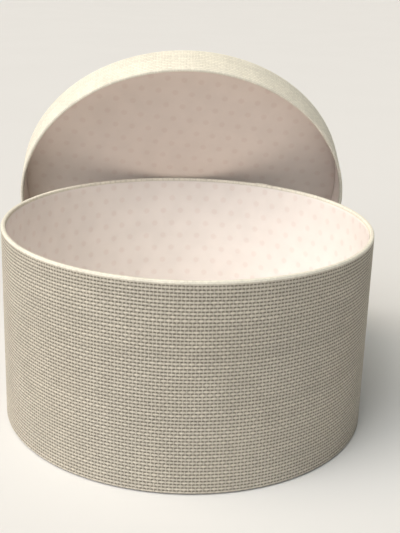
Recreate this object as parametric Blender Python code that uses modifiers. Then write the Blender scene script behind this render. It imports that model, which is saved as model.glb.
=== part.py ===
"""Round cloth-covered hat box, open, with its loose lid leaning on the back rim.

Metres, +Z up. The base stands on Z = 0 around the Z axis. The lid leans forward from
behind (+Y): its lip stands on the same surface and its lined top rests on the rim.
"""

import math

import bpy

# Base
BASE_RADIUS = 0.150
BASE_HEIGHT = 0.162
BASE_WALL_BOARD = 0.0018
BASE_FLOOR_BOARD = 0.0020
BASE_TURN_IN = 0.016
BASE_TURN_UNDER = 0.013
BASE_COVER_INSET = 0.0035
FLOOR_CARD = 0.0008
LINING_DROP = 0.0025

# Lid, drawn upside up in its own frame with Z = 0 on its outer top
LID_RADIUS = 0.1538
LID_DEPTH = 0.0320
LID_WALL_BOARD = 0.0012
LID_TOP_BOARD = 0.0015
LID_TOP_CARD = 0.0006
LID_TURN_IN = 0.014
LID_TURN_OVER = 0.005
LID_COVER_INSET = 0.0020
LID_LEAN = math.radians(26.0)

# Sheet goods and fits
CLOTH = 0.0005
LINING = 0.0003
GAP = 0.0003
EDGE_ROUND = 0.0009
ROUND_STEPS = 2
FACETS = 64

COLOURS = {
    "woven_cloth": ((226, 217, 196), 0.92),
    "dotted_lining": ((236, 221, 212), 0.85),
    "grey_board": ((170, 156, 138), 0.95),
    "white_card": ((222, 217, 206), 0.90),
}


def clear_scene():
    for obj in list(bpy.data.objects):
        bpy.data.objects.remove(obj, do_unlink=True)


def linear(channel):
    """One 0-255 sRGB channel as the linear value that a shader takes."""
    value = channel / 255
    return value / 12.92 if value <= 0.04045 else ((value + 0.055) / 1.055) ** 2.4


def make_material(node_name, kind):
    colour, roughness = COLOURS[kind]
    material = bpy.data.materials.new(f"{node_name}_{kind}")
    material.use_nodes = True
    shader = material.node_tree.nodes["Principled BSDF"]
    shader.inputs["Base Color"].default_value = (*map(linear, colour), 1.0)
    shader.inputs["Roughness"].default_value = roughness
    shader.inputs["Metallic"].default_value = 0.0
    return material


def add_piece(name, mesh, kind, parent):
    piece = bpy.data.objects.new(name, mesh)
    parts.objects.link(piece)
    piece.data.materials.append(make_material(name, kind))
    piece.parent = parent
    return piece


def turned(name, outline, kind, parent):
    """A solid of revolution. The outline runs down the outer side, top to bottom."""
    on_axis = outline[0][0] == 0 and outline[-1][0] == 0
    count = len(outline)
    edges = [(i, i + 1) for i in range(count - 1)]
    if not on_axis:
        edges.append((count - 1, 0))
    mesh = bpy.data.meshes.new(name)
    mesh.from_pydata([(r, 0.0, z) for r, z in outline], edges, [])
    piece = add_piece(name, mesh, kind, parent)
    screw = piece.modifiers.new("turn", "SCREW")
    screw.axis = "Z"
    screw.steps = screw.render_steps = FACETS
    screw.use_merge_vertices = True
    screw.merge_threshold = 0.00001
    screw.use_smooth_shade = True
    return piece


def ring(name, outer, thick, low, high, kind, parent):
    inner = outer - thick
    outline = [(inner, high), (outer, high), (outer, low), (inner, low)]
    return turned(name, outline, kind, parent)


def disc(name, radius, low, high, kind, parent):
    outline = [(0.0, high), (radius, high), (radius, low), (0.0, low)]
    return turned(name, outline, kind, parent)


def rounded(path, radius):
    """The path with each of its square corners turned into a short arc."""
    points = [path[0]]
    for before, corner, after in zip(path, path[1:], path[2:]):
        into = direction(before, corner)
        out = direction(corner, after)
        centre = [c + radius * (o - i) for c, i, o in zip(corner, into, out)]
        for step in range(ROUND_STEPS + 1):
            angle = math.pi / 2 * step / ROUND_STEPS
            points.append(tuple(
                c + radius * (i * math.sin(angle) - o * math.cos(angle))
                for c, i, o in zip(centre, into, out)
            ))
    return points + [path[-1]]


def direction(start, end):
    length = math.dist(start, end)
    return (end[0] - start[0]) / length, (end[1] - start[1]) / length


def inward(path, distance):
    """The path moved to its right-hand side, mitred at its corners."""
    legs = [direction(a, b) for a, b in zip(path, path[1:])]
    sides = [(dz, -dr) for dr, dz in legs]
    moved = []
    for point, one, two in zip(path, sides[:1] + sides, sides + sides[-1:]):
        share = 1 + one[0] * two[0] + one[1] * two[1]
        moved.append((
            point[0] + distance * (one[0] + two[0]) / share,
            point[1] + distance * (one[1] + two[1]) / share,
        ))
    return moved


def folded_cloth(name, path, parent):
    """A turned strip of cloth whose outer face follows the path."""
    outer = rounded(path, EDGE_ROUND)
    return turned(name, outer + inward(outer, CLOTH)[::-1], "woven_cloth", parent)


def build_base():
    board_outer = BASE_RADIUS - CLOTH - GAP
    board_inner = board_outer - BASE_WALL_BOARD
    turn_face = board_inner - GAP - CLOTH
    cloth_foot = CLOTH + GAP
    board_foot = cloth_foot + CLOTH + GAP
    folded_cloth("base_wall_cloth", [
        (turn_face, BASE_HEIGHT - BASE_TURN_IN),
        (turn_face, BASE_HEIGHT),
        (BASE_RADIUS, BASE_HEIGHT),
        (BASE_RADIUS, cloth_foot),
        (BASE_RADIUS - BASE_TURN_UNDER, cloth_foot),
    ], None)
    ring("base_wall_board", board_outer, BASE_WALL_BOARD, board_foot,
         BASE_HEIGHT - CLOTH - GAP, "grey_board", None)
    floor_top = board_foot + BASE_FLOOR_BOARD
    disc("base_floor_board", board_inner - GAP, board_foot, floor_top, "grey_board", None)
    disc("base_bottom_cloth", BASE_RADIUS - BASE_COVER_INSET, 0.0, CLOTH, "woven_cloth",
         None)

    lining_outer = turn_face - GAP
    card_foot = floor_top + GAP
    ring("base_wall_lining", lining_outer, LINING, card_foot,
         BASE_HEIGHT - LINING_DROP, "dotted_lining", None)
    card_radius = lining_outer - LINING - GAP - LINING - GAP
    card_top = card_foot + FLOOR_CARD
    disc("base_floor_card", card_radius, card_foot, card_top, "white_card", None)
    skirt, face = card_radius + GAP, card_top + GAP
    turned("base_floor_lining", [
        (0.0, face + LINING),
        (skirt + LINING, face + LINING),
        (skirt + LINING, card_foot),
        (skirt, card_foot),
        (skirt, face),
        (0.0, face),
    ], "dotted_lining", None)


def build_lid(lid):
    board_outer = LID_RADIUS - CLOTH - GAP
    board_inner = board_outer - LID_WALL_BOARD
    turn_face = board_inner - GAP - CLOTH
    shoulder = -CLOTH - GAP
    board_top = shoulder - CLOTH - GAP
    folded_cloth("lid_wall_cloth", [
        (LID_RADIUS - LID_TURN_OVER, shoulder),
        (LID_RADIUS, shoulder),
        (LID_RADIUS, -LID_DEPTH),
        (turn_face, -LID_DEPTH),
        (turn_face, -LID_DEPTH + LID_TURN_IN),
    ], lid)
    disc("lid_top_cloth", LID_RADIUS - LID_COVER_INSET, -CLOTH, 0.0, "woven_cloth", lid)
    ring("lid_wall_board", board_outer, LID_WALL_BOARD, -LID_DEPTH + CLOTH + GAP,
         board_top, "grey_board", lid)
    board_low = board_top - LID_TOP_BOARD
    disc("lid_top_board", board_inner - GAP, board_low, board_top, "grey_board", lid)

    lining_outer = turn_face - GAP
    card_top = board_low - GAP
    ring("lid_wall_lining", lining_outer, LINING, -LID_DEPTH + LINING_DROP, card_top,
         "dotted_lining", lid)
    card_radius = lining_outer - LINING - GAP - LINING - GAP
    card_low = card_top - LID_TOP_CARD
    disc("lid_top_card", card_radius, card_low, card_top, "white_card", lid)
    skirt, face = card_radius + GAP, card_low - GAP
    turned("lid_top_lining", [
        (0.0, face),
        (skirt, face),
        (skirt, card_top),
        (skirt + LINING, card_top),
        (skirt + LINING, face - LINING),
        (0.0, face - LINING),
    ], "dotted_lining", lid)
    return LINING - face


def lean_lid(lid, top_thick):
    """Stands the lid's lip on Z = 0 and lays its lined top on the back of the rim."""
    rise, run = math.sin(LID_LEAN), math.cos(LID_LEAN)
    height = ((LID_DEPTH - EDGE_ROUND) * rise + (LID_RADIUS - EDGE_ROUND) * run
              + EDGE_ROUND)
    rim_reach = ((BASE_RADIUS - EDGE_ROUND) * run + (BASE_HEIGHT - EDGE_ROUND) * rise
                 + EDGE_ROUND)
    back = (rim_reach + GAP + top_thick - height * rise) / run
    lid.location = (0.0, back, height)
    lid.rotation_euler = (LID_LEAN - math.pi / 2, 0.0, 0.0)


clear_scene()
parts = bpy.data.collections.new("hat_box")
bpy.context.scene.collection.children.link(parts)
lid_frame = bpy.data.objects.new("lid_frame", None)
lid_frame.empty_display_size = 0.05
parts.objects.link(lid_frame)
build_base()
lean_lid(lid_frame, build_lid(lid_frame))
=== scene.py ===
"""The looks of the round hat box: coarse woven cloth outside, dotted lining inside.

Metres, +Z up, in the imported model's frame. The base stands round the Z axis. The lid's
pieces are made in the lid's own frame, with Z = 0 on its outer top and +Z out of it.
"""

import math

import bpy
import numpy as np
from mathutils import Matrix, Vector


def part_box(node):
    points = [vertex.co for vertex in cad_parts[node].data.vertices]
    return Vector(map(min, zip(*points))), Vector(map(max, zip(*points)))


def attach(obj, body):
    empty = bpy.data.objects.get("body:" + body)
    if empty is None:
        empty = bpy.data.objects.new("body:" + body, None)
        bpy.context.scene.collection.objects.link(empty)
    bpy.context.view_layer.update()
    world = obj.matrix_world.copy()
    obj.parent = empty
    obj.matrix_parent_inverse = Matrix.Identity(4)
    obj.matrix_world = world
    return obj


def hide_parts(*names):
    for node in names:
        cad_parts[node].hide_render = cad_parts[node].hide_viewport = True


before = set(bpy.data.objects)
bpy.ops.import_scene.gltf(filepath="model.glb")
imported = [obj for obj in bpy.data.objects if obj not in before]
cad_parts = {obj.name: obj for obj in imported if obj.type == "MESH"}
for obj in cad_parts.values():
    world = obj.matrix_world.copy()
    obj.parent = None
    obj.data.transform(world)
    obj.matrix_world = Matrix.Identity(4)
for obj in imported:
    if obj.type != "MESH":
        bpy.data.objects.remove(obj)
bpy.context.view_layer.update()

# Cloth and fits, as the solids have them
CLOTH = 0.0005
GAP = 0.0003
BASE_TURN_IN = 0.016
BASE_TURN_UNDER = 0.013
LID_TURN_IN = 0.014
LID_TURN_OVER = 0.005

# The coarse weave. Each cell has one crossing, and the holes lie between crossings
WARP_PITCH = 0.00270
WEFT_PITCH = 0.00264
RELIEF = 0.00042
CROWN = 0.00008
THREAD_JITTER = 0.00003
ROW_WANDER = 0.00025

# The same weave in cells: mesh steps to one, half widths of threads, how far they stray, and
# how far in from an edge the rows wander
SAMPLES = 2
WARP_HALF = 0.18
WEFT_HALF = 0.30
STRAY = 0.12
SLACK_REACH = 4

# The threads' finish: how round they are, how far they bend over and under, their fibres in
# each cell, and their fuzz as its weight, roughness and tint
THREAD_ROUND = 0.8
OVER_AND_UNDER = 0.35
FIBRES_ACROSS = 9.0
FIBRES_ALONG = 1.6
WOVEN_BUMP = 0.00030
WOVEN_FUZZ = (0.22, 0.5, (0.98, 0.94, 0.86))

# How open the weave is, and how dark its holes are. At the rim and the covers' edges the weave is
# tight enough to be painted pale as a painted highlight
WALL_OPEN = 1.0
RIM_OPEN = 0.10
TURNED_OPEN = 0.5
BAND_OPEN = 0.35
LAP_OPEN = 0.3
COVER_EDGE_OPEN = 0.2
# The holes' darkness is the board behind showing through, deepened with painted shade, kept faint on
# the lid's top-lit band
WALL_HOLES = 1.0
BAND_HOLES = 0.3
COVER_HOLES = 0.8

# Turned edges of the woven strips, how tight they stay, and their laps, counted in warps
EDGE_BEND = 0.0013
RIM_PLAIN = 0.0009
TIGHT = 0.0002
LAP = 4
LAP_RAMP = 2
LAP_END = 0.6
LAP_RISE = 0.0007

# The woven discs: how far in they are stuck down, their edge's roll in shares out and down,
# and the size of their sway
COVER_TIGHT = 0.003
COVER_ROLL = ((0.35, 0.15), (0.5, 0.5), (0.5, 1.0))
COVER_SWAY = 0.02

# Where each strip starts, round Z from +X
BASE_SEAM = math.radians(58)
LID_SEAM = math.radians(40)
BASE_LINING_SEAM = math.radians(-90)
LID_LINING_SEAM = math.radians(20)

# The lining's mesh, its slack from stuck edge to free middle, its lap and its edges
LINING_COLUMNS = 288
LINING_ROWS = 56
BAND_LINING_ROWS = 12
CARD_ROWS = 44
LINING_WAVE = 0.00010
LINING_STUCK = 0.003
LINING_FREE = 0.015
PUCKER_PEAK = 0.002
PUCKER_REACH = 0.030
LINING_LAP = 0.00030
LINING_LAP_COLUMNS = 4
LINING_SOFT = 0.0006
LINING_SNUG = 0.0002
LINING_HEM = 0.004

# The lining's finish. A staggered print is two steps from dot to dot, and one dot's place
LINING_THREAD = 0.0006
LINING_BUMP = 0.00002
LINING_FUZZ = (0.12, 0.4, (1.0, 0.95, 0.93))
DOT_RADIUS = 0.0027
DOT_SOFT = 0.0010
DOT_RAGGED = 0.0012
WALL_PRINT = ((0.01668, 0.0), (0.00834, 0.0126), (0.0160, 0.00403))
PANEL_PRINT = ((0.01508, 0.00195), (-0.00797, 0.01329), (-0.0166, -0.1269))

# Boards and floor
BOARD_BUMP = 0.00005
BOARD_SPECK = 0.10
CARD_SPECK = 0.04
FLOOR_BUMP = 0.0001

# Colours, linear
# The cloth painted pale as a painted highlight: the top-lit rim takes it, and it is the first of the
# lid's tones
PAINTED_HIGHLIGHT_CREAM = (0.94, 0.910, 0.815)
CREAMS = ((0.64, 0.600, 0.528), (0.64, 0.588, 0.500))
# The lid's cloth is the base's weave in a paler copy, a painted highlight for its top-lit band
PAINTED_HIGHLIGHT_CREAMS = (PAINTED_HIGHLIGHT_CREAM, (0.94, 0.900, 0.785))
# The holes: the grey board behind, darkened further with painted shade
HOLE_BOARD_AND_PAINTED_SHADE = (0.180, 0.162, 0.128)
# The same lining in two copies: the base's is painted paler as painted light for its bright inside,
# and PINK is the darker copy for the lid's lining in shade
PAINTED_LIGHT_PINK = (0.970, 0.925, 0.905)
PINK = (0.850, 0.762, 0.712)
DOT_TINT = (0.955, 0.930, 0.926)
GREY_BOARD = (0.402, 0.333, 0.254)
WHITE_CARD = (0.731, 0.694, 0.617)
FLOOR = (0.80, 0.81, 0.84)
BACKDROP = (0.93, 0.915, 0.89)

# Camera and studio
CAMERA_PLACE = (-0.03308, -0.72103, 0.36625)
CAMERA_DOWN = math.radians(17.0832)
CAMERA_TURN = math.radians(-2.1636)
CAMERA_ROLL = math.radians(1.4612)
CAMERA_LENS = 61.975
CAMERA_SENSOR = 36.0
CAMERA_SHIFT = (0.03752, -0.04972)
CAMERA_CLIP = (0.05, 100.0)
FLOOR_RINGS = (0.0, 0.4, 1.0, 3.0, 10.0, 40.0)
FLOOR_COLUMNS = 64
GLOW = 0.06
LIGHT_SPREAD = math.radians(60)
LIGHTS = (
    ("key", (-0.3, -0.3, 0.9), 1.80, (1.0, 0.985, 0.84)),
    ("side", (-0.5, -0.5, 0.6), 1.50, (1.0, 0.985, 1.0)),
    ("warm", (-0.7, 0.0, 0.7), 0.78, (1.0, 0.75, 0.55)),
)


# Outlines, as (radius, height) points

def straight(start, end, steps):
    """Points from start towards end, leaving end out."""
    share = np.arange(steps)[:, None] / steps
    return (1 - share) * np.array(start) + share * np.array(end)


def bend(centre, radius, first, last, steps=4):
    """Points round a bend from one direction to another, in degrees, leaving the last out."""
    angle = np.radians(first + (last - first) * np.arange(steps) / steps)
    return np.array(centre) + radius * np.stack([np.cos(angle), np.sin(angle)], 1)


def along(outline):
    """How far along the outline each of its points is."""
    steps = np.linalg.norm(np.diff(outline, axis=0), axis=1)
    return np.concatenate([[0.0], np.cumsum(steps)])


def facing(outline):
    """The unit normal at each point, on the left of the way that the outline runs."""
    run = np.gradient(outline, along(outline), axis=0)
    run /= np.linalg.norm(run, axis=1)[:, None]
    return np.stack([-run[:, 1], run[:, 0]], 1)


def smooth(low, high, value):
    """0 below low, 1 above high, and a smooth step between them."""
    share = np.clip((value - low) / (high - low), 0, 1)
    return share * share * (3 - 2 * share)


def wander(seed, *coordinates):
    """Slow, smooth unevenness of about -1 to 1, the same on every run."""
    random = np.random.default_rng(seed)
    total = 0.0
    for _ in range(6):
        waves = random.normal(size=len(coordinates))
        phase = random.uniform(0, 2 * math.pi)
        total = total + np.sin(sum(w * c for w, c in zip(waves, coordinates)) + phase)
    return total / 3


# Meshes

def grid_faces(rows, columns):
    """Faces of a grid of points that is listed row by row. Where the rows follow an outline
    and the columns go round +Z, they face to the outline's left."""
    corner = (np.arange(rows - 1)[:, None] * columns + np.arange(columns - 1)).ravel()
    return np.stack([corner, corner + columns, corner + columns + 1, corner + 1], 1)


def add_piece(name, points, faces, pattern, openness, material, place):
    """A smooth mesh. Its UV map holds the weave's cells or the print, and "open" says how
    loose the weave is."""
    mesh = bpy.data.meshes.new(name)
    mesh.from_pydata(points.reshape(-1, 3).tolist(), [], [list(face) for face in faces])
    corners = np.empty(len(mesh.loops), np.int32)
    mesh.loops.foreach_get("vertex_index", corners)
    layer = mesh.uv_layers.new(name="pattern")
    layer.uv.foreach_set("vector", pattern.reshape(-1, 2)[corners].astype(np.float32).ravel())
    attribute = mesh.attributes.new("open", "FLOAT", "POINT")
    spread = np.broadcast_to(openness, points.shape[:-1]).astype(np.float32)
    attribute.data.foreach_set("value", spread.ravel())
    mesh.shade_smooth()
    mesh.materials.append(material)
    piece = bpy.data.objects.new(name, mesh)
    piece.matrix_world = place
    bpy.context.scene.collection.objects.link(piece)
    return piece


def round_z(radius, angle, height):
    """Points at each radius, angle and height."""
    return np.stack([radius * np.cos(angle), radius * np.sin(angle), height], -1)


def relief(u, v):
    """How high woven cloth stands at (u, v) cells, with its crossings at whole numbers."""
    warp = 0.5 + 0.5 * np.cos(2 * math.pi * u)
    weft = 0.5 + 0.5 * np.cos(2 * math.pi * v)
    return CROWN * warp * weft - RELIEF * (1 - warp) * (1 - weft)


def wound_strip(outline, wefts, openness, last, warps, start, seed):
    """A strip of woven cloth, wound once round Z from the angle start, its end lapped over.

    wefts and openness hold a value for each point of the outline. The outer face runs from
    weft 0 to weft last, and beyond it the turned edges stay tight to what they are glued to.
    """
    total = warps + LAP
    u = np.arange(total * SAMPLES + 1) / SAMPLES
    room = np.where((wefts < -1) | (wefts > last + 1), TIGHT, 1.0)[:, None]
    slack = (smooth(0, SLACK_REACH, wefts) * smooth(0, SLACK_REACH, last - wefts))[:, None]
    u, v, openness = np.broadcast_arrays(u[None, :], wefts[:, None], openness[:, None])
    openness = openness * (LAP_OPEN + (1 - LAP_OPEN) * smooth(LAP - 0.5, LAP + 0.5, u))
    jitter = THREAD_JITTER * np.random.default_rng(seed).normal(size=u.shape)
    lapped = smooth(warps - LAP_RAMP, warps, u) * (1 - smooth(total - LAP_END, total, u))
    lift = np.minimum(relief(u, v) * openness + jitter + LAP_RISE * lapped, room)
    angle = start + 2 * math.pi * u / warps
    sideways = ROW_WANDER * slack * wander(seed + 1, 9 * angle, v / 3)
    downward = ROW_WANDER * slack * wander(seed + 2, 7 * angle, v / 3)
    out = facing(outline)
    turn = angle + sideways / outline[:, :1]
    radius = outline[:, :1] + lift * out[:, :1] + downward * out[:, 1:]
    height = outline[:, 1:] + lift * out[:, 1:] - downward * out[:, :1]
    return round_z(radius, turn, height), grid_faces(*u.shape), np.stack([u, v], -1), openness


def woven_disc(radius, turn, seed):
    """A disc of woven cloth that faces +Z at Z = 0, with its edge rolled down by turn."""
    pitch = np.array([WARP_PITCH, WEFT_PITCH])
    reach = int(radius / pitch.min() * SAMPLES) + 2
    steps = np.arange(-reach, reach + 1)
    flat = np.stack(np.meshgrid(steps, steps), -1).reshape(-1, 2) / SAMPLES * pitch
    inside = np.linalg.norm(flat, axis=1) < radius - 0.2 * pitch.min()
    faces = grid_faces(len(steps), len(steps))[:, ::-1]
    used, faces = np.unique(faces[inside[faces].any(1)], return_inverse=True)
    faces, flat = faces.reshape(-1, 4), flat[used]
    away = np.maximum(np.linalg.norm(flat, axis=1), radius / 2)
    flat = flat * np.where(inside[used], 1, radius / away)[:, None]
    cells = flat / pitch
    within = smooth(0, COVER_TIGHT, radius - np.linalg.norm(flat, axis=1))
    jitter = THREAD_JITTER * np.random.default_rng(seed).normal(size=len(flat))
    height = (relief(*cells.T) + jitter) * within
    spots = flat.T / COVER_SWAY
    sway = np.stack([wander(seed + 1, *spots), wander(seed + 2, *spots)], 1)
    points = np.column_stack([flat + ROW_WANDER * within[:, None] * sway, height])
    points, faces, parents = rolled_edge(points, faces, turn)
    openness = COVER_EDGE_OPEN + (1 - COVER_EDGE_OPEN) * within
    return points, faces, cells[parents], openness[parents]


def rolled_edge(points, faces, turn):
    """Rolls a disc's open edge out and down. Also returns which point each point grew from."""
    count = len(points)
    ends = np.concatenate([faces[:, [k, (k + 1) % 4]] for k in range(4)])
    ends = ends[~np.isin(ends @ [count, 1], ends @ [1, count])]
    edge, order = np.unique(ends, return_inverse=True)
    one, two = order.reshape(-1, 2).T
    outward = points[edge, :2] / np.linalg.norm(points[edge, :2], axis=1)[:, None]
    before, parents = edge, [np.arange(count)]
    for out, down in COVER_ROLL:
        ring = points[edge].copy()
        ring[:, :2] += out * turn * outward
        ring[:, 2] -= down * turn
        here = len(points) + np.arange(len(edge))
        band = np.stack([before[two], before[one], here[one], here[two]], 1)
        points, faces = np.concatenate([points, ring]), np.concatenate([faces, band])
        parents.append(edge)
        before = here
    return points, faces, np.concatenate(parents)


def lifted(outline, lift, angle):
    """The outline's points turned to each angle, raised along its normals by lift."""
    out = facing(outline)
    return round_z(outline[:, :1] + lift * out[:, :1], angle, outline[:, 1:] + lift * out[:, 1:])


def lining_strip(outline, start, seed):
    """A strip of lining, wound once round Z from the angle start, with its end lapped over."""
    u = np.arange(LINING_COLUMNS + LINING_LAP_COLUMNS) / LINING_COLUMNS
    angle = start + 2 * math.pi * u
    far = along(outline)[:, None]
    slack = smooth(LINING_STUCK, LINING_FREE, far)
    slack = slack * smooth(LINING_STUCK, LINING_FREE, far[-1] - far)
    lift = LINING_WAVE * slack * wander(seed, 9 * angle[None, :], far / 0.02)
    lift = lift + LINING_LAP * smooth(1 - LINING_LAP_COLUMNS / LINING_COLUMNS, 1, u)
    points = lifted(outline, lift, angle)
    arc = np.median(outline[:, 0]) * (math.pi / 2 - angle)
    print_at = np.stack(np.broadcast_arrays(arc[None, :], outline[:, 1:]), -1)
    return points, grid_faces(*points.shape[:2]), print_at


def lining_disc(outline, seed):
    """A disc of lining turned from an outline that starts or ends near the axis, closed there."""
    angle = 2 * math.pi * np.arange(LINING_COLUMNS) / LINING_COLUMNS
    inward = outline[:, :1].max() - outline[:, :1]
    pucker = smooth(0.0, PUCKER_PEAK, inward) * smooth(PUCKER_REACH, PUCKER_PEAK, inward)
    slack = smooth(0.0, 0.02, inward)
    lift = LINING_WAVE * pucker * wander(seed, 40 * angle, inward / 0.004)
    lift = lift + LINING_WAVE * slack * wander(seed + 1, 3 * angle, inward / 0.03)
    points = lifted(outline, lift, angle)
    rows, columns = points.shape[:2]
    faces = grid_faces(rows, columns + 1)
    faces = faces // (columns + 1) * columns + faces % (columns + 1) % columns
    inner_row = 0 if outline[0, 0] < outline[-1, 0] else rows - 1
    around = inner_row * columns + np.arange(columns)
    onward = np.roll(around, -1)
    middle = np.full(columns, rows * columns)
    fan = [middle, around, onward] if inner_row == 0 else [middle, onward, around]
    points = points.reshape(-1, 3)
    points = np.concatenate([points, [points[around].mean(0)]])
    return points, faces.tolist() + np.stack(fan, 1).tolist(), points[:, :2]


# Materials

class Graph:
    """Makes a material's nodes. Its calls take sockets or plain values."""

    def __init__(self, name):
        self.material = bpy.data.materials.new(name)
        self.material.use_nodes = True
        self.tree = self.material.node_tree
        self.shader = self.tree.nodes["Principled BSDF"]
        self.place = self.node("TexCoord").outputs["Object"]

    def feed(self, socket, value):
        if isinstance(value, bpy.types.NodeSocket):
            self.tree.links.new(value, socket)
        else:
            socket.default_value = value

    def node(self, kind, inputs=(), **settings):
        made = self.tree.nodes.new("ShaderNode" + kind)
        for name, value in settings.items():
            setattr(made, name, value)
        for key, value in inputs.items() if isinstance(inputs, dict) else enumerate(inputs):
            self.feed(made.inputs[key], value)
        return made

    def math(self, operation, *values):
        return self.node("Math", values, operation=operation).outputs[0]

    def product(self, first, *others):
        for other in others:
            first = self.math("MULTIPLY", first, other)
        return first

    def split(self, vector):
        return self.node("SeparateXYZ", [vector]).outputs[:2]

    def join(self, x, y, z=0.0):
        return self.node("CombineXYZ", [x, y, z]).outputs[0]

    def step(self, value, low, high, start=0.0, end=1.0):
        """A smooth step of value from low to high, as a number from start to end."""
        values = [value, low, high, start, end]
        return self.node("MapRange", values, interpolation_type="SMOOTHSTEP").outputs[0]

    def blend(self, share, one, two):
        """The number one where share is 0, and two where it is 1."""
        return self.math("MULTIPLY_ADD", share, self.math("SUBTRACT", two, one), one)

    def mix(self, share, one, two, blend="MIX"):
        made = self.node("Mix", data_type="RGBA", blend_type=blend)
        for index, value in ((0, share), (6, one), (7, two)):
            self.feed(made.inputs[index], (*value, 1.0) if isinstance(value, tuple) else value)
        return made.outputs[2]

    def shaded(self, colour, level):
        return self.mix(1.0, colour, self.join(level, level, level), "MULTIPLY")

    def noise(self, scale, detail=2.0, at=None, output=0):
        inputs = {"Vector": self.place if at is None else at, "Scale": scale, "Detail": detail}
        return self.node("TexNoise", inputs).outputs[output]

    def chance(self, x, y, z=0.0):
        """A random number from 0 to 1 for each place."""
        return self.node("TexWhiteNoise", [self.join(x, y, z)]).outputs[0]

    def pattern(self):
        return self.node("UVMap", uv_map="pattern").outputs[0]

    def fuzz(self, weight, roughness, tint):
        """The soft bloom of cloth seen along its surface."""
        self.feed(self.shader.inputs["Sheen Weight"], weight)
        self.feed(self.shader.inputs["Sheen Roughness"], roughness)
        self.feed(self.shader.inputs["Sheen Tint"], (*tint, 1.0))

    def finish(self, colour, roughness, height, depth, specular=0.5):
        bump = self.node("Bump", {"Height": height, "Distance": depth, "Strength": 1.0})
        self.feed(self.shader.inputs["Normal"], bump.outputs[0])
        self.feed(self.shader.inputs["Base Color"], colour)
        self.feed(self.shader.inputs["Roughness"], roughness)
        self.feed(self.shader.inputs["Specular IOR Level"], specular)
        return self.material


def strayed(g, cells):
    """The cells' (u, v) with threads that stray a little from straight."""
    stray = g.node("VectorMath", [g.noise(420.0, 1.0, output=1), (0.5, 0.5, 0.5)],
                   operation="SUBTRACT")
    stray = g.node("VectorMath", {"Vector": stray.outputs[0], "Scale": STRAY}, operation="SCALE")
    return g.split(g.node("VectorMath", [cells, stray.outputs[0]], operation="ADD").outputs[0])


def thread_top(g, across, half, forward, side):
    """The height of a round thread that passes over the other where side is 1."""
    rounded = g.math("POWER", g.math("DIVIDE", across, half), 2.0)
    wave = g.product(g.math("COSINE", g.product(forward, math.pi)), side, OVER_AND_UNDER)
    return g.math("ADD", g.math("MULTIPLY_ADD", rounded, -THREAD_ROUND, THREAD_ROUND), wave)


def fibres(g, cells, warp_shows):
    """Streaks that run along whichever thread shows."""
    u, v = g.split(cells)

    def streaks(across, down):
        return g.noise(1.0, 3.0, g.join(g.product(u, across), g.product(v, down)))

    return g.blend(warp_shows, streaks(FIBRES_ALONG, FIBRES_ACROSS),
                   streaks(FIBRES_ACROSS, FIBRES_ALONG))


def thread_shade(g, warp, weft, across_weft, warp_shows, openness):
    """Each thread and each crossing has a tone of its own at random, and warps get painted shade
    where they pass between wefts.
    """
    # painted shade: warps darken where they pass between wefts, as if shaded by the wefts above
    between = g.step(g.math("ABSOLUTE", across_weft), 0.10, 0.45, 1.0, 0.84)
    between = g.blend(openness, 1.0, between)
    warp_shade = g.product(g.math("MULTIPLY_ADD", g.chance(warp, 7.3), 0.08, 0.91), between)
    weft_shade = g.math("MULTIPLY_ADD", g.chance(3.1, weft), 0.12, 0.93)
    crossing = g.math("MULTIPLY_ADD", g.chance(warp, weft, 1.7), 0.09, 0.95)
    return g.product(g.blend(warp_shows, weft_shade, warp_shade), crossing)


def thread_colour(g, tones, openness, top, fibre, shade):
    """High threads get a painted highlight and low ones painted shade, clean fibres and slubs are
    paler, and the rim is palest as a painted highlight.
    """
    # painted highlight and shade: high thread tops are paler, low parts darker
    high = g.blend(openness, 0.98, g.step(top, 0.1, 1.15, 0.80, 1.06))
    streak = g.step(fibre, 0.3, 0.7, 0.94, 1.05)
    slub = g.step(g.noise(38.0, 3.0), 0.3, 0.7, 0.955, 1.03)
    # painted highlight: where the weave is tightest, as on the rim, the threads are painted pale
    painted_rim_highlight = g.step(openness, 0.11, 0.28, 1.0, 0.0)
    tone = g.mix(painted_rim_highlight, g.mix(g.noise(14.0), *tones), PAINTED_HIGHLIGHT_CREAM)
    return g.shaded(tone, g.product(shade, slub, high, streak))


def hole_board_and_painted_shade(g, u, v, top, openness, share):
    """How dark the cloth is between threads: the board behind, and painted shade where the threads
    dip. Each hole's darkness varies at random.
    """
    size = g.math("MULTIPLY_ADD", g.chance(g.math("FLOOR", u), g.math("FLOOR", v)), 0.22, 0.82)
    return g.product(g.step(top, -0.55, 0.35, 1.0, 0.0), openness, size, share)


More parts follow.
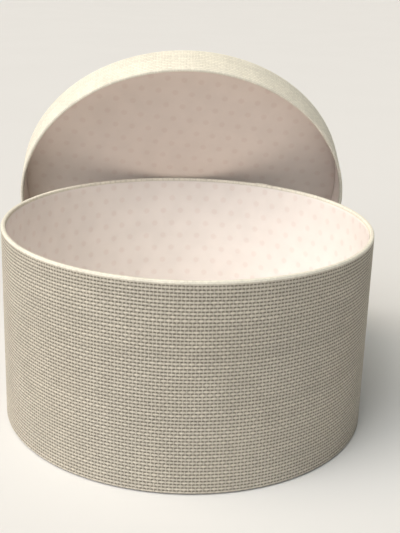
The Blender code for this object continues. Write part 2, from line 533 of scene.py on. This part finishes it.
def woven_cloth(name, hole_share, tones):
    """Coarse plain weave in the cells of the UV map: round threads, with holes between that are dark
    from the board behind and painted shade.
    """
    g = Graph(name)
    cells = g.pattern()
    openness = g.node("Attribute", attribute_name="open").outputs["Fac"]
    u, v = strayed(g, cells)
    warp, weft = g.math("ROUND", u), g.math("ROUND", v)
    across_warp, across_weft = g.math("SUBTRACT", u, warp), g.math("SUBTRACT", v, weft)
    odd = g.math("FLOORED_MODULO", g.math("ADD", warp, weft), 2.0)
    side = g.math("MULTIPLY_ADD", odd, -2.0, 1.0)
    warp_top = thread_top(g, across_warp, WARP_HALF, across_weft, side)
    weft_top = thread_top(g, across_weft, WEFT_HALF, across_warp, g.product(side, -1.0))
    warp_shows = g.math("GREATER_THAN", warp_top, weft_top)
    top = g.math("MAXIMUM", g.math("MAXIMUM", warp_top, weft_top), -1.0)
    fibre = fibres(g, cells, warp_shows)
    shade = thread_shade(g, warp, weft, across_weft, warp_shows, openness)
    threads = thread_colour(g, tones, openness, top, fibre, shade)
    # the holes' colour: the board behind, darkened with painted shade
    colour = g.mix(hole_board_and_painted_shade(g, u, v, top, openness, hole_share), threads, HOLE_BOARD_AND_PAINTED_SHADE)
    rise = g.math("MULTIPLY_ADD", openness, 0.9, 0.1)
    height = g.math("MULTIPLY_ADD", top, rise, g.product(fibre, 0.25))
    g.fuzz(*WOVEN_FUZZ)
    return g.finish(colour, g.step(fibre, 0.3, 0.7, 0.86, 0.97), height, WOVEN_BUMP, 0.25)


def away_from_dot(g, x, y, one_step, other_step):
    """How far (x, y) is from the nearest dot. One dot is at (0, 0), and steps lead to the rest."""
    (ax, ay), (bx, by) = one_step, other_step
    size = ax * by - ay * bx

    def sum_of(one, times, two, also):
        return g.math("MULTIPLY_ADD", one, times, g.product(two, also))

    steps = sum_of(x, by / size, y, -bx / size), sum_of(x, -ay / size, y, ax / size)
    p, q = (g.math("SUBTRACT", step, g.math("ROUND", step)) for step in steps)
    offset = g.join(sum_of(p, ax, q, bx), sum_of(p, ay, q, by))
    return g.node("VectorMath", [offset], operation="LENGTH").outputs["Value"]


def dotted_lining(name, dots, tone):
    """Fine pale cloth with a staggered print of soft dots, placed by the UV map in metres."""
    g = Graph(name)
    one_step, other_step, origin = dots
    x, y = (g.math("SUBTRACT", c, c0) for c, c0 in zip(g.split(g.pattern()), origin))
    away = away_from_dot(g, x, y, one_step, other_step)
    away = g.math("MULTIPLY_ADD", g.math("SUBTRACT", g.noise(900.0), 0.5), DOT_RAGGED, away)
    dot = g.step(away, DOT_RADIUS - DOT_SOFT, DOT_RADIUS + DOT_SOFT, 1.0, 0.0)
    ground = g.shaded(tone, g.step(g.noise(60.0, 4.0), 0.3, 0.7, 0.975, 1.015))
    colour = g.mix(dot, ground, g.mix(1.0, ground, DOT_TINT, "MULTIPLY"))
    threads = g.product(*(g.math("SINE", g.product(c, 2 * math.pi / LINING_THREAD)) for c in (x, y)))
    height = g.math("MULTIPLY_ADD", g.noise(45.0, 3.0), 6.0, threads)
    g.fuzz(*LINING_FUZZ)
    return g.finish(colour, g.step(threads, -1.0, 1.0, 0.78, 0.9), height, LINING_BUMP, 0.3)


def pressed_board(name, tone, speck):
    """Board or card: short fibres pressed flat, a little cloudy."""
    g = Graph(name)
    fibre = g.noise(700.0, 4.0)
    level = g.product(g.step(fibre, 0.3, 0.7, 1 - speck, 1 + speck / 2),
                      g.step(g.noise(45.0), 0.3, 0.7, 0.96, 1.03))
    roughness = g.step(fibre, 0.3, 0.7, 0.88, 0.98)
    return g.finish(g.shaded(tone, level), roughness, fibre, BOARD_BUMP)


def plain_floor():
    g = Graph("pale_floor")
    cloud = g.noise(3.0)
    colour = g.shaded(FLOOR, g.step(cloud, 0.3, 0.7, 0.995, 1.005))
    return g.finish(colour, 0.9, cloud, FLOOR_BUMP)


# The two bodies

def settle(piece, body, node):
    """Puts a stretched sheet on its body, in place of its CAD node."""
    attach(piece, body)
    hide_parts(node)


def lid_place():
    """The lid's own frame, worked out from the box of its cover disc."""
    low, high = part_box("lid_top_cloth")
    wide, tall = high.x - low.x, high.z - low.z
    lean = math.atan2(CLOTH, wide) + math.acos(tall / math.hypot(wide, CLOTH))
    centre = (0.0, high.y - wide / 2 * math.sin(lean), high.z - wide / 2 * math.cos(lean))
    return Matrix.Translation(centre) @ Matrix.Rotation(lean - math.pi / 2, 4, "X")


def in_lid(node):
    """(radius, lowest, highest) of a lid node in the lid's own frame."""
    back = LID.inverted()
    points = np.array([back @ v.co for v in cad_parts[node].data.vertices])
    return points[:, 0].max(), points[:, 2].min(), points[:, 2].max()


def weft_counts(outline, first, last):
    """Weft counts along an outline: 0 at its point first, and whole at its point last."""
    far = along(outline)
    length = far[last] - far[first]
    return (far - far[first]) / length * round(length / WEFT_PITCH)


def outer_cloth(name, body, node, outline, face, warps, start, finish, loose, seed):
    """The woven strip round a body. Its outer face runs between two points of the outline."""
    first, last = face
    wefts = weft_counts(outline, first, last)
    openness = RIM_OPEN + (loose - RIM_OPEN) * smooth(-0.3, 0.7, wefts)
    openness *= 1 - (1 - TURNED_OPEN) * smooth(wefts[last] - 0.5, wefts[last] + 1, wefts)
    strip = wound_strip(outline, wefts, openness, wefts[last], warps, start, seed)
    piece = add_piece(name, *strip, finish, PLACES[body])
    settle(piece, body, node)


def cover(name, body, node, radius, thick, place, finish, seed):
    """The woven disc glued over a body's flat end."""
    piece = add_piece(name, *woven_disc(radius, thick, seed), finish, place)
    settle(piece, body, node)


def wall_lining(name, body, node, outline, start, tone, seed):
    """The lining strip round the inside of a body's wall."""
    points, faces, print_at = lining_strip(outline, start, seed)
    piece = add_piece(name, points, faces, print_at, 0.0,
                      dotted_lining(name, WALL_PRINT, tone), PLACES[body])
    settle(piece, body, node)


def card_lining(name, body, node, outline, tone, seed):
    """The lining stretched over a card disc and turned down at its edge."""
    points, faces, print_at = lining_disc(outline, seed)
    piece = add_piece(name, points, faces, print_at, 0.0,
                      dotted_lining(name, PANEL_PRINT, tone), PLACES[body])
    settle(piece, body, node)


def card_outline(radius, face, skirt):
    """From near the axis out along the face, round a soft edge and on to the skirt's end."""
    radius += LINING_SNUG
    soft = math.copysign(LINING_SOFT, face - skirt)
    edge = np.array((radius - LINING_SOFT, face - soft))
    return np.concatenate([
        straight((radius / (CARD_ROWS + 1), face), (radius - LINING_SOFT, face), CARD_ROWS),
        edge + bend((0.0, 0.0), 1.0, 90, 0) * (LINING_SOFT, soft),
        [(radius, face - soft), (radius, skirt)],
    ])


def base_wall_outline():
    """The base's cloth from inside the rim to under the foot, and where its face runs."""
    low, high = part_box("base_wall_cloth")
    radius, top, foot = high.x, high.z, low.z
    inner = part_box("base_wall_lining")[1].x + GAP
    r = EDGE_BEND
    face_top = top - r - RIM_PLAIN
    wefts = round((face_top - foot - r) / WEFT_PITCH)
    head = [
        straight((inner, top - BASE_TURN_IN), (inner, top - r), 3),
        bend((inner + r, top - r), r, 180, 90),
        straight((inner + r, top), (radius - r, top), 2),
        bend((radius - r, top - r), r, 90, 0),
        straight((radius, top - r), (radius, face_top), 1),
    ]
    first = sum(map(len, head))
    outline = np.concatenate(head + [
        straight((radius, face_top), (radius, foot + r), wefts * SAMPLES),
        bend((radius - r, foot + r), r, 0, -90, 3),
        straight((radius - r, foot), (radius - BASE_TURN_UNDER, foot), 3),
        [(radius - BASE_TURN_UNDER, foot)],
    ])
    return outline, (first, first + wefts * SAMPLES)


def base_lining_outline():
    """The base's lining from its foot up to its hemmed top edge, and its radius."""
    low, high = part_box("base_wall_lining")
    face, back = high.x - GAP, high.x
    edge = (back - face) / 2
    brim = high.z - edge
    return np.concatenate([
        straight((face, low.z), (face, brim), LINING_ROWS),
        bend((face + edge, brim), edge, 180, 0),
        straight((back, brim), (back, brim - LINING_HEM), 2),
    ]), face


def make_base():
    outline, face = base_wall_outline()
    warps = round(2 * math.pi * outline[face[0], 0] / WARP_PITCH)
    outer_cloth("base_weave", "base", "base_wall_cloth", outline, face, warps, BASE_SEAM,
                woven_cloth("base_weave", WALL_HOLES, CREAMS), WALL_OPEN, 11)
    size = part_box("base_bottom_cloth")[1]
    cover("base_foot_cover", "base", "base_bottom_cloth", size.x, size.z,
          PLACES["base"] @ Matrix.Rotation(math.pi, 4, "X"),
          woven_cloth("base_foot_cover", COVER_HOLES, CREAMS), 21)
    outline, radius = base_lining_outline()
    wall_lining("base_lining", "base", "base_wall_lining", outline, BASE_LINING_SEAM,
                PAINTED_LIGHT_PINK, 31)
    low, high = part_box("base_floor_lining")
    card_lining("base_floor_sheet", "base", "base_floor_lining",
                card_outline(high.x, high.z, low.z),
                PAINTED_LIGHT_PINK, 41)


def lid_band_outline():
    """The band's cloth from the lid's top to inside its lip, and where its face runs."""
    radius, lip, shoulder = in_lid("lid_wall_cloth")
    inner = in_lid("lid_wall_lining")[0] + GAP
    r = EDGE_BEND
    wefts = round((shoulder - lip - 2 * r) / WEFT_PITCH)
    head = [
        straight((radius - LID_TURN_OVER, shoulder), (radius - r, shoulder), 3),
        bend((radius - r, shoulder - r), r, 90, 0),
    ]
    first = sum(map(len, head))
    outline = np.concatenate(head + [
        straight((radius, shoulder - r), (radius, lip + r), wefts * SAMPLES),
        bend((radius - r, lip + r), r, 0, -90),
        straight((radius - r, lip), (inner + r, lip), 1),
        bend((inner + r, lip + r), r, 270, 180),
        straight((inner, lip + r), (inner, lip + LID_TURN_IN), 5),
        [(inner, lip + LID_TURN_IN)],
    ])
    return outline, (first, first + wefts * SAMPLES)


def lid_lining_outline():
    """The band's lining from its hemmed lower edge to the lid's top, and its radius."""
    back, low, high = in_lid("lid_wall_lining")
    face = back - GAP
    edge = (back - face) / 2
    brim = low + edge
    return np.concatenate([
        straight((back, brim + LINING_HEM), (back, brim), 2),
        bend((face + edge, brim), edge, 0, -180),
        straight((face, brim), (face, high), BAND_LINING_ROWS),
        [(face, high)],
    ]), face


def make_lid():
    outline, face = lid_band_outline()
    warps = round(2 * math.pi * outline[face[0], 0] / WARP_PITCH)
    outer_cloth("lid_weave", "lid", "lid_wall_cloth", outline, face, warps, LID_SEAM,
                woven_cloth("lid_weave", BAND_HOLES, PAINTED_HIGHLIGHT_CREAMS), BAND_OPEN, 51)
    size, low, high = in_lid("lid_top_cloth")
    cover("lid_cover", "lid", "lid_top_cloth", size, high - low, PLACES["lid"],
          woven_cloth("lid_cover", COVER_HOLES, PAINTED_HIGHLIGHT_CREAMS), 61)
    outline, radius = lid_lining_outline()
    wall_lining("lid_lining", "lid", "lid_wall_lining", outline, LID_LINING_SEAM,
                PINK, 71)
    size, low, high = in_lid("lid_top_lining")
    card_lining("lid_panel", "lid", "lid_top_lining", card_outline(size, low, high)[::-1],
                PINK, 81)


def dress_boards():
    """The boards and cards inside stay as the solids are, with finishes of their own."""
    for name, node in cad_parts.items():
        kind = name.split("_")[-1]
        if kind == "board":
            finish = pressed_board(name + "_grey", GREY_BOARD, BOARD_SPECK)
        elif kind == "card":
            finish = pressed_board(name + "_white", WHITE_CARD, CARD_SPECK)
        else:
            continue
        for slot in node.material_slots:
            slot.material = finish


# The studio

def add_camera():
    data = bpy.data.cameras.new("camera")
    data.lens, data.sensor_width = CAMERA_LENS, CAMERA_SENSOR
    data.shift_x, data.shift_y = CAMERA_SHIFT
    data.clip_start, data.clip_end = CAMERA_CLIP
    camera = bpy.data.objects.new("camera", data)
    aim = Matrix.Rotation(CAMERA_TURN, 4, "Z") @ Matrix.Rotation(math.pi / 2 - CAMERA_DOWN, 4, "X")
    roll = Matrix.Rotation(CAMERA_ROLL, 4, "Z")
    camera.matrix_world = Matrix.Translation(CAMERA_PLACE) @ aim @ roll
    bpy.context.scene.collection.objects.link(camera)
    bpy.context.scene.camera = camera


def add_light(name, source, strength, colour):
    """A soft, even light from the direction source, as wide as LIGHT_SPREAD of the sky."""
    data = bpy.data.lights.new(name, "SUN")
    data.energy, data.color, data.angle = strength, colour, LIGHT_SPREAD
    light = bpy.data.objects.new(name, data)
    light.rotation_euler = Vector(source).to_track_quat("Z", "Y").to_euler()
    bpy.context.scene.collection.objects.link(light)


def add_floor():
    """A wide disc under the base, closed at its middle."""
    rings = np.array(FLOOR_RINGS)[:, None]
    angle = 2 * math.pi * np.arange(FLOOR_COLUMNS + 1) / FLOOR_COLUMNS
    points = round_z(rings, angle, np.zeros((len(rings), FLOOR_COLUMNS + 1)))
    place = Matrix.Translation((0.0, 0.0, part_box("base_bottom_cloth")[0].z))
    floor = add_piece("floor", points, grid_faces(len(rings), FLOOR_COLUMNS + 1),
                      points[..., :2], 0.0, plain_floor(), place)


def add_world():
    """A pale backdrop, which itself lights the scene only faintly."""
    world = bpy.data.worlds.new("pale_world")
    world.use_nodes = True
    tree = world.node_tree
    glow = tree.nodes["Background"]
    backdrop = tree.nodes.new("ShaderNodeBackground")
    for sky, strength in ((glow, GLOW), (backdrop, 1.0)):
        sky.inputs["Color"].default_value = (*BACKDROP, 1.0)
        sky.inputs["Strength"].default_value = strength
    seen = tree.nodes.new("ShaderNodeMixShader")
    tree.links.new(tree.nodes.new("ShaderNodeLightPath").outputs["Is Camera Ray"], seen.inputs[0])
    tree.links.new(glow.outputs[0], seen.inputs[1])
    tree.links.new(backdrop.outputs[0], seen.inputs[2])
    tree.links.new(seen.outputs[0], tree.nodes["World Output"].inputs["Surface"])
    bpy.context.scene.world = world


def add_studio():
    add_world()
    add_floor()
    for name, source, strength, colour in LIGHTS:
        add_light(name, source, strength, colour)
    bpy.context.scene.view_settings.view_transform = "Standard"


add_camera()
LID = lid_place()
PLACES = {"base": Matrix.Identity(4), "lid": LID}
make_base()
make_lid()
dress_boards()
add_studio()
